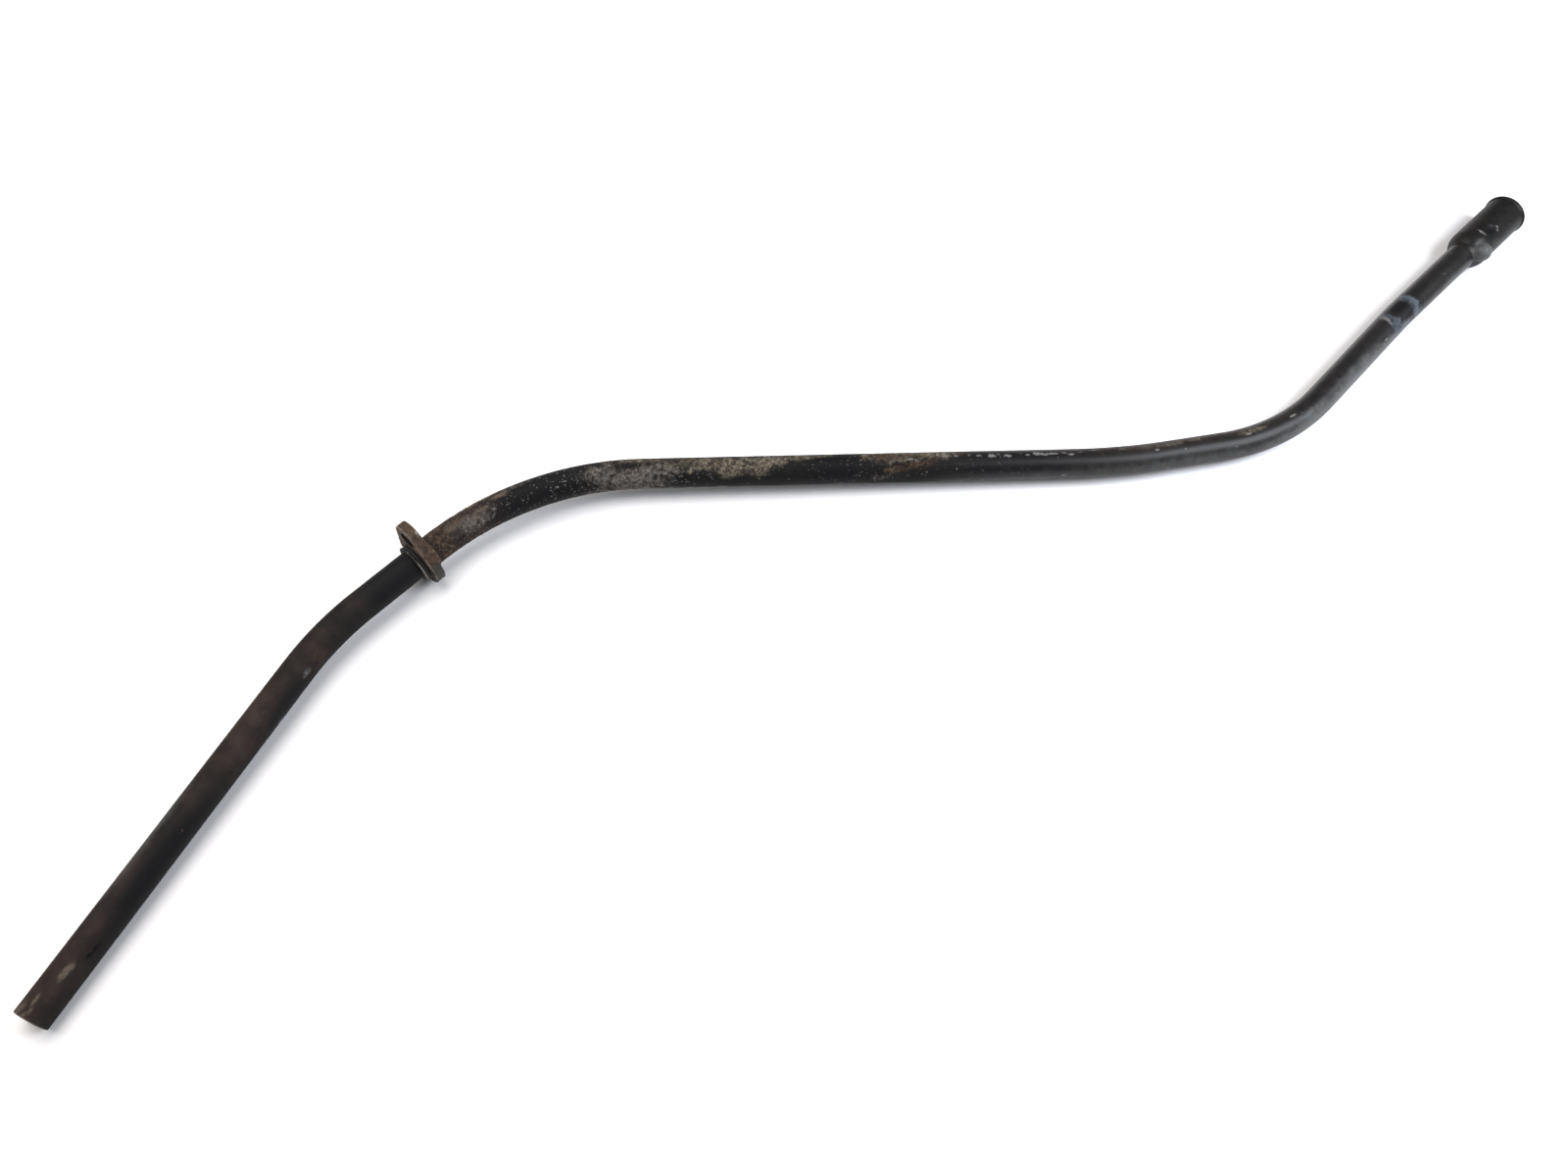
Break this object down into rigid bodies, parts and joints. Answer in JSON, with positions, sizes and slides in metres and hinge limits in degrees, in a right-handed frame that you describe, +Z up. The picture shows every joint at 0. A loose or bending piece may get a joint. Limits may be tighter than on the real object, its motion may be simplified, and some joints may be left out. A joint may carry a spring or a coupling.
{
  "type": "oil dipstick tube",
  "caption": "Bent steel guide tube for an oil dipstick, with a pressed head cup, a flange with a bolt ear and a rubber seal ring, in worn black paint with rust.",
  "frame": {"origin": "middle of the footprint, on the floor that the tube lies on", "axes": "+Z up from the floor, +X along the tube's length from the plain lower end to the head cup, +Y across the floor towards the side that the head cup lies on"},
  "size_m": [0.5904, 0.3746, 0.0303],
  "materials": {
    "tube_paint": "satin, worn",
    "head_paint": "satin, worn",
    "rusty_steel": "rusty, rough",
    "braze": "rusty, rough",
    "seal_rubber": "matte",
    "collar_steel": "dull"
  },
  "bodies": {
    "root": {"guide_tube": "tube_paint", "head_cup": "head_paint", "mounting_flange": "rusty_steel", "flange_braze": "braze", "seal_ring": "seal_rubber", "seal_collar": "collar_steel"}
  },
  "joints": []
}
